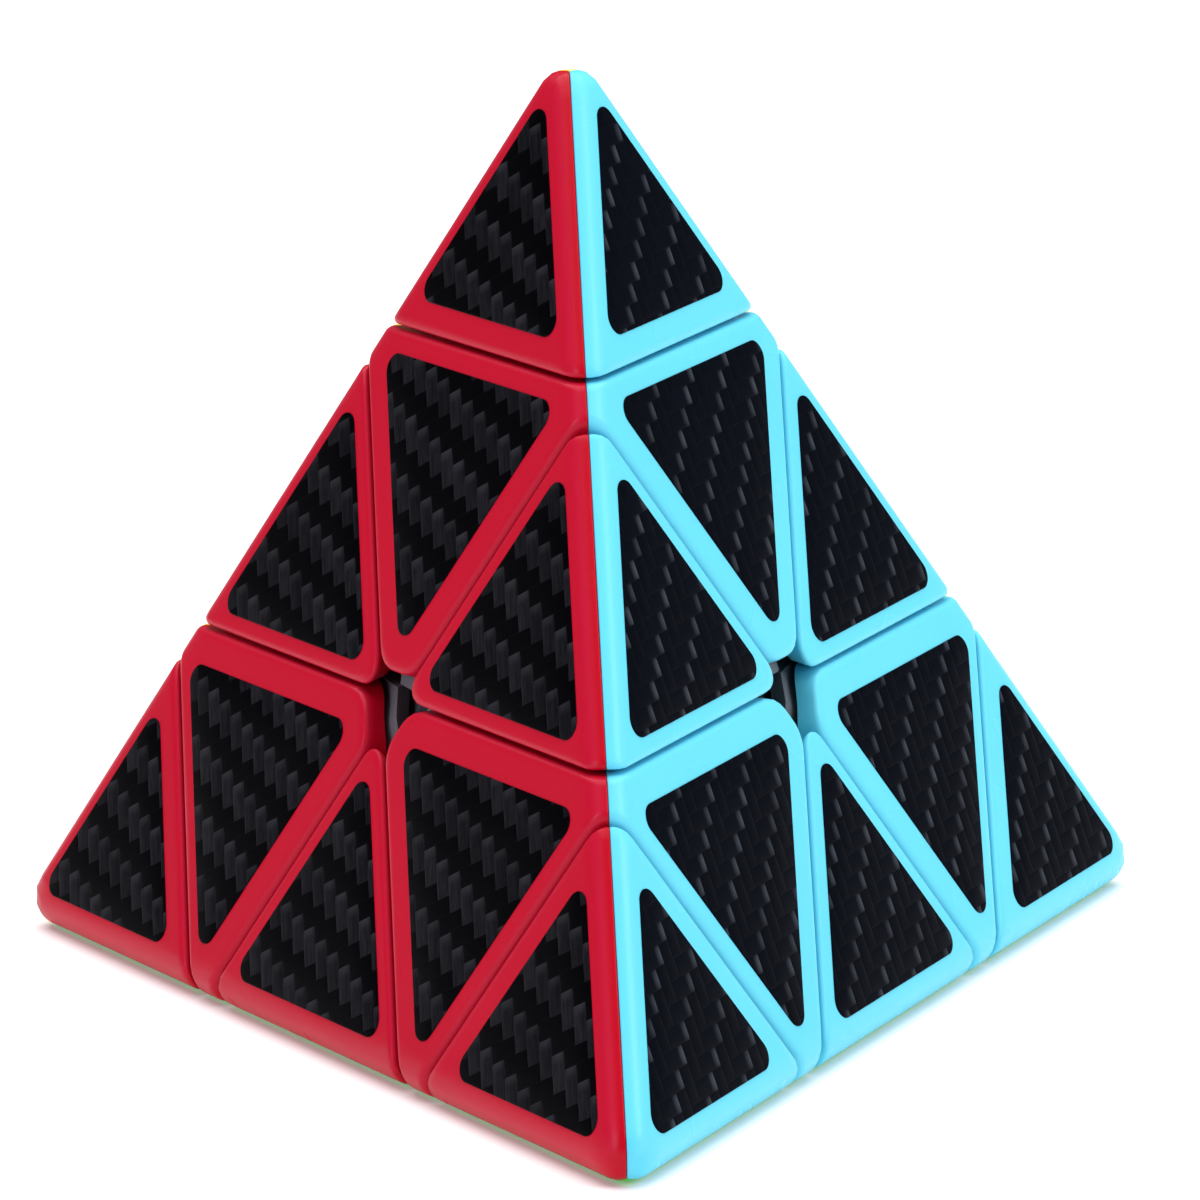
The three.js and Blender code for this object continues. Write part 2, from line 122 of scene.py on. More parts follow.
# %% [markdown]
# ## Rounding a corner exactly
# A moulded piece has no sharp edges: it is what a ball of the rounding radius sweeps when it rolls
# about inside. Take each plane in by the radius. The distance from a point to that smaller corner, less
# the radius, is zero exactly on the rounded surface. For one plane the distance is plain; for two or
# three that share an edge or a corner it comes from their normals' products with each other.


# %% Rounded corner of several planes
def rounded_corner(points, normals, offsets, radius):
    """Signed distance to planes (normal . p = offset) whose shared edges are rounded by a radius.
    With u the distances past the planes taken in by the radius, and G the products of the normals, an
    edge or corner is at the square root of u G^-1 u wherever every entry of G^-1 u is positive."""
    normals = np.array(normals, float)
    past = points @ normals.T - (np.array(offsets) - radius)
    best = past.max(axis=-1)
    for size in (2, 3):
        for pick in combinations(range(len(normals)), size):
            chosen = list(pick)
            gram = normals[chosen] @ normals[chosen].T
            if abs(np.linalg.det(gram)) < 1e-6:
                continue
            share = past[..., chosen] @ np.linalg.inv(gram)
            length = np.sqrt(np.clip((share * past[..., chosen]).sum(-1), 0, None))
            best = np.where((share > 0).all(-1) & (length > best), length, best)
    return best - radius


def rounded_rim(a, b, product, radius):
    """Joins two signed distances by a rim of a radius; product is the cosine between their normals."""
    a = a + radius
    b = b + radius
    length = np.sqrt(np.clip((a * a + b * b - 2 * product * a * b) / (1 - product**2), 0, None))
    both = (a > product * b) & (b > product * a)
    return np.where(both, length, np.maximum(a, b)) - radius


# %% [markdown]
# ## Three shapes make the whole puzzle
# A tip, a centre piece and an edge piece are each split where two colours meet. Every split runs
# through the piece's own axis, so a third of a tip, a third of a centre piece and half of an edge piece,
# turned twelve ways each, make all 36 shells.
# In a corner piece's frame its axis is +Z and its face looks towards +X. In an edge piece's frame
# +Z points out through the long edge, which runs along Y.

# %% Radii of the moulded shells
EDGE_ROUND = 2.3 * MM  # along the puzzle's long edges
POINT = cad_high[2]  # how far the points reach
BLUNT_RIM = 0.75 * MM  # where a face meets a wall at more than a right angle
SHARP_RIM = 0.45 * MM  # where it meets one at less
CORNER_ROUND = 1.9 * MM  # corners of an edge piece's outline
MIDDLE_ROUND = 2.7 * MM  # corners near the middle of a face
ROOF_ROUND = 0.6 * MM  # corners under a tip
MIDDLE_HOLE = 3.0 * MM  # from the middle of a face to the pieces round it
WALL = 2.0 * MM
print("radii in mm:", np.round(np.array([EDGE_ROUND, BLUNT_RIM, SHARP_RIM, CORNER_ROUND]) / MM, 2))

# %% [markdown]
# ## Planes that bound each piece
# A piece is what is left between its faces and its cuts. Each is a plane given by a unit vector and a
# distance, so the whole puzzle needs only the four axes seen from a corner piece or an edge piece.

# %% Planes of the three pieces
SLOPE = sqrt(8) / 3  # sine of the angle between two axes

own = np.array([0, 0, 1.0])
away = np.array([-SLOPE, 0, -1 / 3])
beside = [np.array([SLOPE / 2, s * SLOPE * sqrt(3) / 2, -1 / 3]) for s in (1, -1)]
ends = [np.array([0, s * sqrt(2 / 3), sqrt(1 / 3)]) for s in (1, -1)]
across = [np.array([s * sqrt(2 / 3), 0, -sqrt(1 / 3)]) for s in (-1, 1)]
to_middle = unit(-own - away / 3)


def tip_parts(p):
    """Three rounded faces with a blunter point, and the tip's floor."""
    faces = rounded_corner(p, [-away, -beside[0], -beside[1], own], [FACE] * 3 + [POINT], EDGE_ROUND)
    return faces, TIP_FLOOR - p[..., 2]


def centre_parts(p):
    """Three rounded faces; and the roof, the layers beside, its own cut, and the hole left open in the
    middle of its face."""
    faces = rounded_corner(p, [-away, -beside[0], -beside[1]], [FACE] * 3, EDGE_ROUND)
    side = LAYER_CUT - GAP / 2
    low_cuts = rounded_corner(p, [beside[0], beside[1], -own, to_middle],
                              [side, side, -LAYER_FLOOR, -MIDDLE_HOLE], MIDDLE_ROUND)
    return faces, rounded_rim(low_cuts, p[..., 2] - CENTRE_ROOF, -1 / 3, ROOF_ROUND)


def edge_parts(p):
    """Two rounded faces; and the two layer cuts, with their ends eased off square."""
    faces = rounded_corner(p, [-across[0], -across[1]], [FACE] * 2, EDGE_ROUND)
    cuts = rounded_corner(p, [-ends[0], -ends[1], [0, 1, 0], [0, -1, 0]],
                          [-LAYER_FLOOR] * 2 + [EDGE_HALF] * 2, CORNER_ROUND)
    return faces, cuts


CREST = (FACE - EDGE_ROUND) * sqrt(3) + EDGE_ROUND
EDGE_TRIM = 0.5 * MM
EDGE_HALF = (CREST * sqrt(1 / 3) - LAYER_FLOOR) / sqrt(2 / 3) - EDGE_TRIM
print("long edge shown by an edge piece in mm:", round(2 * EDGE_HALF / MM, 2))

# %% [markdown]
# ## From a distance to a surface
# Every shell can be seen whole from a point on its axis, so its surface is one distance along each
# direction. Directions are laid on a grid of meridians, as on a globe: the first and last meridian run
# along the two partings, and the rings are packed close where a rim is. Halving a bracket again and
# again finds the distance for the whole grid at once. A boolean cut and a bevel would be shorter to
# write, but they leave long thin faces where six planes meet.


# %% Rays
HALVINGS = 28  # from four face distances to under a thousandth of a micrometre
RIM_HALVINGS = 20
NEAR_POLE = 0.01  # radians kept clear of the poles in a search
RIM_TRIES = 150
SPHERE_TRIES = 80


def directions(turn, polar):
    """Unit vectors from a turn about Z and an angle from +Z."""
    return np.stack([np.sin(polar) * np.cos(turn), np.sin(polar) * np.sin(turn),
                     np.cos(polar) + 0 * turn], axis=-1)


def reach(distance, centre, rays, level):
    """How far along each ray the signed distance rises to a level, by halving a bracket."""
    low = np.zeros(rays.shape[:-1])
    high = low + 4 * FACE
    for _ in range(HALVINGS):
        middle = (low + high) / 2
        inside = distance(centre + rays * middle[..., None]) < level
        low = np.where(inside, middle, low)
        high = np.where(inside, high, middle)
    return (low + high) / 2


def turning_points(test, low, high):
    """Closes in on where a test changes between two angles, by halving the bracket."""
    before = test(low)
    for _ in range(RIM_HALVINGS):
        middle = (low + high) / 2
        same = test(middle) == before
        low = np.where(same, middle, low)
        high = np.where(same, high, middle)
    return low


# %% Rims
def rims(parts, eye, turn, level, count):
    """Polar angles at which the outline passes from the faces to the cuts or back."""
    def on_face(angle):
        rays = directions(turn, angle)
        return reach(lambda p: parts(p)[0], eye, rays, level) < reach(lambda p: parts(p)[1], eye, rays, level)

    polar = np.linspace(NEAR_POLE, pi - NEAR_POLE, RIM_TRIES)[:, None] + 0 * turn
    coarse = on_face(polar)
    changed = coarse[1:] != coarse[:-1]
    first = np.argsort(~changed, axis=0, kind="stable")[:count]
    steps = np.arange(len(turn))
    return [turning_points(on_face, polar[i, steps], polar[i + 1, steps]) for i in first]


# %% Rings of the grid
def packed(count, start=True, end=True):
    """Numbers from 0 to 1 packed towards the chosen ends: halves of a cosine, or a square."""
    x = np.linspace(0, 1, count)
    if start and end:
        return (1 - np.cos(pi * x)) / 2
    return x**2 if start else 1 - (1 - x) ** 2


def ladder(stops, counts, ends_packed):
    """Polar angles for every ring: each span between two stops gets its own packed share."""
    rungs = []
    for i, (count, (start, end)) in enumerate(zip(counts, ends_packed)):
        share = packed(count, start, end)
        share = share if i == 0 else share[1:]
        rungs.append(stops[i] + (stops[i + 1] - stops[i]) * share[:, None])
    return np.vstack(rungs)


def meet_sphere(distance, eye, turn, level, radius, start):
    """Polar angle at which the surface at a level dips inside a sphere about the puzzle's centre."""
    def outside(angle):
        rays = directions(turn, angle)
        points = eye + rays * reach(distance, eye, rays, level)[..., None]
        return np.linalg.norm(points, axis=-1) > radius

    polar = start + (pi - NEAR_POLE - start) * np.linspace(0, 1, SPHERE_TRIES)[:, None]
    first = np.argmin(outside(polar), axis=0)
    steps = np.arange(len(turn))
    return turning_points(outside, polar[first - 1, steps], polar[first, steps])


# %% [markdown]
# ## A closed shell from two grids
# The outside and the inside share the same meridians and rings, so four narrow strips along the grid's
# borders close the wall. Two measures are kept on each point for the finish: how far the surface
# bends there, and whether it lies on a wall that slides past a neighbour.


# %% Quads of a closed wall
def grid_quads(rows, columns, first=0):
    """Corner numbers of every quad of a grid, counted row by row."""
    r, c = np.meshgrid(np.arange(rows - 1), np.arange(columns - 1), indexing="ij")
    a = (first + r * columns + c).ravel()
    return np.stack([a, a + 1, a + columns + 1, a + columns], axis=1)


def strip_quads(line_a, line_b):
    """Quads between two lines of point numbers."""
    return np.stack([line_a[:-1], line_a[1:], line_b[1:], line_b[:-1]], axis=1)


def closed_shell(outside, inside):
    """Points and quads of a wall: outer grid, inner grid turned over, and a strip round the border."""
    rows, columns = outside.shape[:2]
    size = rows * columns
    points = np.vstack([outside.reshape(-1, 3), inside.reshape(-1, 3)])
    outer = grid_quads(rows, columns)
    inner = grid_quads(rows, columns, size)[:, ::-1]
    index = np.arange(size).reshape(rows, columns)
    border = [
        strip_quads(index[0, ::-1], index[0, ::-1] + size),
        strip_quads(index[:, 0], index[:, 0] + size),
        strip_quads(index[-1], index[-1] + size),
        strip_quads(index[::-1, -1], index[::-1, -1] + size),
    ]
    return points, np.vstack([outer, inner, *border])


# %% [markdown]
# ## Arrays to a mesh
# Points that fall together are welded, so a ring that shrinks to a point closes there. A quad
# that loses a corner in this way becomes a triangle, and one that loses two is left out.

# %% A mesh object from arrays
WELD = 1e-6 * MM


def new_piece(name, points, faces, layers=None, smooth_below=40):
    """A mesh object from arrays: welded, without empty faces, smooth but for angles that are sharp.
    The grids run clockwise seen from outside, so each face is turned over to look outwards."""
    mesh = bpy.data.meshes.new(name)
    keys = np.round(points / WELD).astype(np.int64)
    _, keep, number = np.unique(keys, axis=0, return_index=True, return_inverse=True)
    faces = number.reshape(-1)[faces[:, ::-1]]
    corners = faces != np.roll(faces, -1, axis=1)
    full = corners.all(axis=1)
    three = corners.sum(axis=1) == 3
    triangles = faces[three][corners[three]].reshape(-1, 3)
    used = points[keep]
    mesh.vertices.add(len(used))
    mesh.vertices.foreach_set("co", used.astype(np.float32).ravel())
    quads = faces[full]
    loop_index = np.concatenate([quads.ravel(), triangles.ravel()])
    starts = np.concatenate([np.arange(len(quads)) * 4, len(quads) * 4 + np.arange(len(triangles)) * 3])
    mesh.loops.add(len(loop_index))
    mesh.loops.foreach_set("vertex_index", loop_index.astype(np.int32))
    mesh.polygons.add(len(starts))
    mesh.polygons.foreach_set("loop_start", starts.astype(np.int32))
    for key, values in (layers or {}).items():
        layer = mesh.attributes.new(key, "FLOAT", "POINT")
        layer.data.foreach_set("value", values[keep].astype(np.float32))
    mesh.update(calc_edges=True)
    mesh.validate()
    mesh.shade_smooth()
    mesh.set_sharp_from_angle(angle=radians(smooth_below))
    piece = bpy.data.objects.new(name, mesh)
    bpy.context.scene.collection.objects.link(piece)
    return piece


# %% [markdown]
# ## The three shells
# Where two colours meet, the shells stop a hair short of each other, and the last ring of points is
# let in a little, so that the parting shows as a fine line, as it does between two mouldings.

# %% Where each shell is seen from, and where its surface ends
SEAM = 0.05 * MM
SEAM_WIDTH = 0.16 * MM
SEAM_DEPTH = 0.09 * MM
SPHERE = FACE - 1.85 * MM  # the walls end here, over the spherical skirts
STEM_HOLE = 3.75 * MM
TIP_EYE = 6 * MM  # above the tip's floor
EDGE_EYE = 0.72  # share of the way out to the long edge

EYE = {
    "tip": np.array([0, 0, TIP_FLOOR + TIP_EYE]),
    "centre": np.array([0, 0, (CENTRE_ROOF + LAYER_CUT) / 2]),
    "edge": np.array([0, 0, EDGE_EYE * CREST]),
}
print("shells are seen from heights in mm:", {kind: round(eye[2] / MM, 2) for kind, eye in EYE.items()})


def stem_angle(eye, turn, drop):
    """Polar angle to the round hole about the turning axis, a drop away along it: the distance r to the
    circle along a turn u from an eye at e solves |e + r u| = hole."""
    along = eye[0] * np.cos(turn) + eye[1] * np.sin(turn)
    aside = eye[0] ** 2 + eye[1] ** 2
    return np.arctan2(np.sqrt(STEM_HOLE**2 - aside + along**2) - along, drop)


def tip_stops(distance, eye, turn, level):
    """From the point of the tip to its floor's rim, and on to the hole for the stem."""
    rim, = rims(tip_parts, eye, turn, level, 1)
    return [0 * turn, rim, pi - stem_angle(eye, turn, eye[2] - (TIP_FLOOR - level))]


def centre_stops(distance, eye, turn, level):
    """From the hole in the roof over the two rims of the face, and down to the channel."""
    upper, lower = rims(centre_parts, eye, turn, level, 2)
    return [stem_angle(eye, turn, CENTRE_ROOF + level - eye[2]), upper, lower,
            meet_sphere(distance, eye, turn, level, SPHERE, lower)]


def edge_stops(distance, eye, turn, level):
    """From the middle of the long edge to the cut's rim, and down to the channel."""
    rim, = rims(edge_parts, eye, turn, level, 1)
    return [0 * turn, rim, meet_sphere(distance, eye, turn, level, SPHERE, rim)]


# %% [markdown]
# ## Building a shell
# The outside and the inside of the wall are two levels of one distance, a wall apart. A table gives each
# kind its planes, the cosine between face and cut, its rim, half the turn it covers, the normals of
# its partings, its stops, the rings between stops and where they are packed, and its face.

# %% Build a shell
MERIDIANS = 30  # on each side of the face's middle line
KINDS = {
    "tip": (tip_parts, -1 / 3, SHARP_RIM, pi / 3, [unit(b - away) for b in beside], tip_stops,
            [30, 26], [(True, True), (True, False)], -away),
    "centre": (centre_parts, 1 / 3, BLUNT_RIM, pi / 3, [unit(b - away) for b in beside], centre_stops,
               [16, 34, 18], [(False, True), (True, True), (True, False)], -away),
    "edge": (edge_parts, -1 / 3, SHARP_RIM, pi / 2, [np.array([1.0, 0, 0])], edge_stops,
             [40, 20], [(True, True), (True, False)], -across[0]),
}


def shell(kind, shift):
    """Points, quads and finish measures of a shell whose partings are shifted sideways."""
    parts, product, rim_round, half_turn, split_normals, stops_of, counts, ends_packed, normal = KINDS[kind]

    def distance(p):
        return rounded_rim(*parts(p), product, rim_round)

    eye = EYE[kind] + np.array([shift[0], shift[1], 0])
    side = packed(MERIDIANS)
    turn = half_turn * np.concatenate([side - 1, side[1:]])
    grids = []
    for level in (0.0, -WALL):
        polar = ladder(stops_of(distance, eye, turn, level), counts, ends_packed)
        rays = directions(turn[None, :] + 0 * polar, polar)
        points = eye + rays * reach(distance, eye, rays, level)[..., None]
        if level == 0:
            nearest = np.min([np.abs((points - eye) @ n) for n in split_normals], axis=0)
            bite = SEAM_DEPTH * np.clip(1 - nearest / SEAM_WIDTH, 0, 1) ** 2
            points = points - rays * bite[..., None]
        grids.append(points)
    outside, inside = grids
    past = FACE - outside @ normal
    wall = np.clip((past - rim_round) / rim_round, 0, 1).ravel()
    rim = np.clip(1 - np.abs(past - 0.5 * rim_round) / (0.9 * rim_round), 0, 1).ravel()
    hidden = np.ones(inside.shape[0] * inside.shape[1])
    layers = {"wall": np.concatenate([wall, hidden]), "rim": np.concatenate([rim, 0 * hidden])}
    points, faces = closed_shell(outside, inside)
    return points + np.array([SEAM / 2 / sin(half_turn), 0, 0]), faces, layers


SHELLS = {}


def shell_once(kind, shift):
    """A shell worked out the first time it is asked for, and kept for its other places."""
    key = (kind, *np.round(np.asarray(shift) / MM, 6))
    if key not in SHELLS:
        SHELLS[key] = shell(kind, shift)
        print(kind, "shell with partings shifted by", key[1:], "mm:", len(SHELLS[key][1]), "quads")
    return SHELLS[key]


# %% [markdown]
# ## Stickers
# A sticker is a thin black film cut to a triangle with rounded corners, set in from the piece's rims.
# Its outline is three lines moved in by the corner radius, with an arc round each corner. Rings
# of that outline, from the middle out to the edge and down, make the film. A texture on the shell
# could show the pattern, but not the film's cut edge.

# %% Sticker outlines
STICKER_ROUND = 1.35 * MM
STICKER_THICK = 0.13 * MM
STICKER_LIFT = 0.01 * MM
ARC_POINTS = 15
STICKERS = {
    "tip": {"big_edge": 3.67 * MM, "cut": 2.95 * MM},
    "centre": {"roof": 2.0 * MM, "side": 3.1 * MM},
    "edge": {"big_edge": 3.72 * MM, "cut": 2.0 * MM},
}


def in_face(axis, normal):
    """A turning axis laid flat on a face, as a unit vector."""
    return unit(axis - normal * (axis @ normal))


def line_at(axis, height, normal, keep_above):
    """The line on a face where the height along an axis has a value, as an outward direction and its
    distance from the middle of the face. Heights grow by SLOPE for each step along the face."""
    flat = in_face(axis, normal)
    distance = (height - FACE * (axis @ normal)) / SLOPE
    return (-flat, -distance) if keep_above else (flat, distance)


def sticker_lines(kind, normal):
    """The three border lines of a sticker in its piece's own frame."""
    inset = STICKERS[kind]
    if kind == "tip":
        base = TIP_CUT + inset["cut"] * SLOPE
        sides = [line_at(b, -FACE + inset["big_edge"] * SLOPE, normal, True) for b in beside]
        return [line_at(own, base, normal, True), *sides]
    if kind == "centre":
        sides = [line_at(b, LAYER_CUT - inset["side"] * SLOPE, normal, False) for b in beside]
        return [line_at(own, TIP_CUT - inset["roof"] * SLOPE, normal, False), *sides]
    sides = [line_at(e, LAYER_CUT + inset["cut"] * SLOPE, normal, True) for e in ends]
    ridge = line_at(across[1], -FACE + inset["big_edge"] * SLOPE, normal, True)
    return [ridge, *sides]


def sticker(kind, normal):
    """Points and quads of a sticker, by rings from its middle to its edge and under."""
    lines = sticker_lines(kind, normal)
    right = unit(np.cross([0, 0, 1.0] if kind == "edge" else own, normal))
    up = np.cross(normal, right)
    flat = sorted(((atan2(m @ up, m @ right), m @ right, m @ up, k) for m, k in lines))
    centres, angles = [], []
    for i in range(3):
        a, b = flat[i], flat[(i + 1) % 3]
        system = np.array([[a[1], a[2]], [b[1], b[2]]])
        centres.append(np.linalg.solve(system, [a[3] - STICKER_ROUND, b[3] - STICKER_ROUND]))
        stop = b[0] if b[0] > a[0] else b[0] + 2 * pi
        angles.append(np.linspace(a[0], stop, ARC_POINTS))
    arcs = [c + STICKER_ROUND * np.stack([np.cos(t), np.sin(t)], 1) for c, t in zip(centres, angles)]
    outwards = np.vstack([np.stack([np.cos(t), np.sin(t)], 1) for t in angles])
    outline = np.vstack(arcs)
    outline = np.vstack([outline, outline[:1]])
    outwards = np.vstack([outwards, outwards[:1]])
    middle = np.mean(centres, axis=0)
    top = STICKER_LIFT + STICKER_THICK
    # each ring: share of the way out, growth past that, height over the face
    rings = [(0.0, 0.0, top), (0.5, 0.0, top), (1.0, -0.12 * MM, top), (1.0, -0.05 * MM, top - 0.01 * MM),
             (1.0, 0.0, top - 0.05 * MM), (1.0, 0.0, STICKER_LIFT), (0.0, 0.0, STICKER_LIFT)]
    rows = []
    for share, grow, height in rings:
        place = middle + (outline - middle) * share + outwards * grow
        rows.append(place[:, :1] * right + place[:, 1:] * up + (FACE + height) * normal)
    return np.stack(rows).reshape(-1, 3), grid_quads(len(rings), len(outline))


STICKER_SHAPES = {
    "tip": sticker("tip", -away),
    "centre": sticker("centre", -away),
    "edge": sticker("edge", -across[0]),
}
print("sticker points:", {kind: len(shape[0]) for kind, shape in STICKER_SHAPES.items()})

# %% [markdown]
# ## Finishes
# Effects that several finishes share are node groups: a fine moulding grain, and the twill weave. A few
# helpers keep the node trees short: one adds a node with its inputs, one does a sum, one makes a group.


# %% Node helpers
def material(name):
    """A new material with its Principled shader."""
    made = bpy.data.materials.new(name)
    made.use_nodes = True
    tree = made.node_tree
    return made, tree, tree.nodes["Principled BSDF"]


def node(tree, kind, inputs=None, **settings):
    """A node with its settings and inputs filled in; an input given as a socket is linked."""
    made = tree.nodes.new(kind)
    for key, value in settings.items():
        setattr(made, key, value)
    for key, value in (inputs or {}).items():
        socket = made.inputs[key]
        if isinstance(value, bpy.types.NodeSocket):
            tree.links.new(value, socket)
        else:
            socket.default_value = value
    return made


def maths(tree, operation, *values):
    """The result of a Math node."""
    return node(tree, "ShaderNodeMath", dict(enumerate(values)), operation=operation).outputs[0]


def group(name, inputs, outputs):
    """An empty node group with named float, colour or vector sockets."""
    made = bpy.data.node_groups.new(name, "ShaderNodeTree")
    kinds = {"f": "NodeSocketFloat", "c": "NodeSocketColor", "v": "NodeSocketVector"}
    for key, (kind, default) in inputs.items():
        socket = made.interface.new_socket(key, in_out="INPUT", socket_type=kinds[kind])
        if default is not None:
            socket.default_value = default
    for key, kind in outputs.items():
        made.interface.new_socket(key, in_out="OUTPUT", socket_type=kinds[kind])
    return made, made.nodes.new("NodeGroupInput").outputs, made.nodes.new("NodeGroupOutput").inputs


def use_group(tree, made, inputs):
    """A group placed in a material."""
    placed = tree.nodes.new("ShaderNodeGroup")
    placed.node_tree = made
    for key, value in inputs.items():
        if isinstance(value, bpy.types.NodeSocket):
            tree.links.new(value, placed.inputs[key])
        else:
            placed.inputs[key].default_value = value
    return placed.outputs


def srgb(code, gain=1.0):
    """A colour code as linear light."""
    values = np.array([int(code[i:i + 2], 16) / 255 for i in (0, 2, 4)])
    linear = np.where(values <= 0.04045, values / 12.92, ((values + 0.055) / 1.055) ** 2.4)
    return (*np.clip(linear * gain, 0, 1), 1.0)


# %% [markdown]
# ## Moulding grain
# Moulded plastic is never quite even: the mould leaves a fine grain, the pigment drifts in faint clouds,
# and handling draws thin lines. Three noises at three scales give these, and every finish but the sticker
# film uses them.

# %% Moulding grain, shared by every plastic
grain, g_in, g_out = group("moulding_grain", {"Place": ("v", None)},
                           {"Height": "f", "Cloud": "f", "Scratch": "f"})
fine = node(grain, "ShaderNodeTexNoise", {"Vector": g_in["Place"], "Scale": 2600.0, "Detail": 2.0})
cloud = node(grain, "ShaderNodeTexNoise", {"Vector": g_in["Place"], "Scale": 55.0, "Detail": 3.0})
long = node(grain, "ShaderNodeMapping", {"Vector": g_in["Place"], "Scale": (900.0, 900.0, 60.0),
                                         "Rotation": (0.4, 0.7, 0.2)})
lines = node(grain, "ShaderNodeTexNoise", {"Vector": long.outputs[0], "Scale": 1.0, "Detail": 1.0})
thin = node(grain, "ShaderNodeMapRange", {"Value": lines.outputs[0], "From Min": 0.66, "From Max": 0.74})
grain.links.new(fine.outputs[0], g_out["Height"])
grain.links.new(cloud.outputs[0], g_out["Cloud"])
grain.links.new(thin.outputs[0], g_out["Scratch"])


# %% [markdown]
# ## Coloured plastics
# The shells are moulded in their colour, half glossy. The rims are painted a little paler, a painted
# highlight along the rims with a little wear from handling, and the walls that slide past their neighbours
# are duller.
# The two measures kept on the shell's points tell the finish where it is.

# %% Coloured plastics
def plastic(name, code, rim_highlight_code, roughness):
    """Moulded colour: a faint cloud in it, rims painted paler as a painted highlight with a little wear, and
    walls dulled by rubbing.
    """
    made, tree, shader = material(name)
    place = node(tree, "ShaderNodeTexCoord").outputs["Object"]
    out = use_group(tree, grain, {"Place": place})
    rim = node(tree, "ShaderNodeAttribute", attribute_name="rim").outputs["Fac"]
    wall = node(tree, "ShaderNodeAttribute", attribute_name="wall").outputs["Fac"]
    body = node(tree, "ShaderNodeMix", {0: out["Cloud"], 6: srgb(code, 0.94), 7: srgb(code, 1.06)},
                data_type="RGBA")
    # painted highlight: the rims are mixed towards the paler second colour, standing in for light on them
    edge = maths(tree, "MULTIPLY", rim, 0.18)
    rim_highlight = node(tree, "ShaderNodeMix", {0: edge, 6: body.outputs[2], 7: srgb(rim_highlight_code)}, data_type="RGBA")
    tree.links.new(rim_highlight.outputs[2], shader.inputs["Base Color"])
    rub = maths(tree, "MULTIPLY", wall, maths(tree, "MULTIPLY", out["Scratch"], 0.25))
    drift = maths(tree, "MULTIPLY", out["Cloud"], 0.08)
    rough = maths(tree, "ADD", maths(tree, "ADD", drift, rub), roughness - 0.04)
    tree.links.new(rough, shader.inputs["Roughness"])
    bump = node(tree, "ShaderNodeBump", {"Height": out["Height"], "Strength": 0.05, "Distance": 0.00004})
    tree.links.new(bump.outputs[0], shader.inputs["Normal"])
    shader.inputs["Specular IOR Level"].default_value = 0.12
    return made


# The second colour of each plastic is the painted highlight on its rims.
PLASTICS = {
    "red": plastic("red_plastic", "b2051f", "d23a66", 0.3),
    "blue": plastic("blue_plastic", "60cfe9", "9cecff", 0.27),
    "green": plastic("green_plastic", "4fd935", "8cf07a", 0.30),
    "yellow": plastic("yellow_plastic", "f8d21c", "fbe468", 0.30),
}

print("plastics:", sorted(PLASTICS))

# %% [markdown]
# ## Twill weave
# Carbon cloth is woven two over, two under, one step further on in each row, which draws its diagonal.
# The group counts columns and rows of tows, finds which thread lies on top, and where on its float
# a place is: from that come the height, the fibres along the thread, a number for each float, and the
# end of the float where the film paints a glint. An image would blur when seen close; sums stay sharp.

# %% Twill weave, as a group
TOW = 1.63 * MM
twill, t_in, t_out = group("twill_weave", {"Place": ("v", None), "Tow": ("f", TOW)},
                           {"Warp": "f", "Height": "f", "Fibre": "f", "Cell": "f", "Tip": "f"})


def hump(tree, value, power=1.0):
    """A round back over a span from 0 to 1: (4 v (1 - v)) to a power."""
    arch = maths(tree, "MULTIPLY", value, maths(tree, "SUBTRACT", 1.0, value))
    return maths(tree, "POWER", maths(tree, "MULTIPLY", 4.0, arch), power)


def blend(tree, share, low, high):
    """A value between two others."""
    return node(tree, "ShaderNodeMix", {0: share, 2: low, 3: high}).outputs[0]


split = node(twill, "ShaderNodeSeparateXYZ", {0: t_in["Place"]}).outputs
x = maths(twill, "DIVIDE", split[0], t_in["Tow"])
y = maths(twill, "DIVIDE", split[1], t_in["Tow"])
column = maths(twill, "FLOOR", x)
row = maths(twill, "FLOOR", y)
over = maths(twill, "LESS_THAN",
             maths(twill, "FLOORED_MODULO", maths(twill, "ADD", column, row), 4.0), 1.5)
along_warp = maths(twill, "FLOORED_MODULO", maths(twill, "ADD", y, column), 4.0)
along_weft = maths(twill, "FLOORED_MODULO",
                   maths(twill, "ADD", maths(twill, "ADD", x, row), 2.0), 4.0)
along = maths(twill, "MULTIPLY", blend(twill, over, along_weft, along_warp), 0.5)
across_tow = blend(twill, over, maths(twill, "FRACT", y), maths(twill, "FRACT", x))
height = maths(twill, "MULTIPLY", hump(twill, across_tow, 0.6), hump(twill, along, 0.35))
float_number = blend(twill, over,
                     maths(twill, "ADD", maths(twill, "MULTIPLY", row, 7.31), maths(
                         twill, "FLOOR", maths(twill, "DIVIDE", maths(twill, "ADD", x, row), 4.0))),
                     maths(twill, "ADD", maths(twill, "MULTIPLY", column, 3.77), maths(
                         twill, "FLOOR", maths(twill, "DIVIDE", maths(twill, "ADD", y, column), 4.0))))
cell = node(twill, "ShaderNodeTexWhiteNoise", {"W": float_number}, noise_dimensions="1D").outputs["Value"]
threads = node(twill, "ShaderNodeCombineXYZ", {
    0: maths(twill, "MULTIPLY", across_tow, 7.0), 1: maths(twill, "MULTIPLY", along, 1.3),
    2: maths(twill, "MULTIPLY", cell, 40.0)}).outputs[0]
fibre = node(twill, "ShaderNodeTexNoise", {"Vector": threads, "Scale": 1.0, "Detail": 2.0}).outputs[0]
edge_of_tow = maths(twill, "SUBTRACT", 1.0, hump(twill, across_tow, 0.5))
# the end of each float: the mask where the film paints a glint
end_of_float = node(twill, "ShaderNodeMapRange",
                    {"Value": along, "From Min": 0.72, "From Max": 0.96}).outputs[0]
tip = maths(twill, "MULTIPLY", end_of_float, maths(twill, "SUBTRACT", 1.0, edge_of_tow))
twill.links.new(over, t_out["Warp"])
twill.links.new(height, t_out["Height"])
twill.links.new(fibre, t_out["Fibre"])
twill.links.new(cell, t_out["Cell"])
twill.links.new(tip, t_out["Tip"])
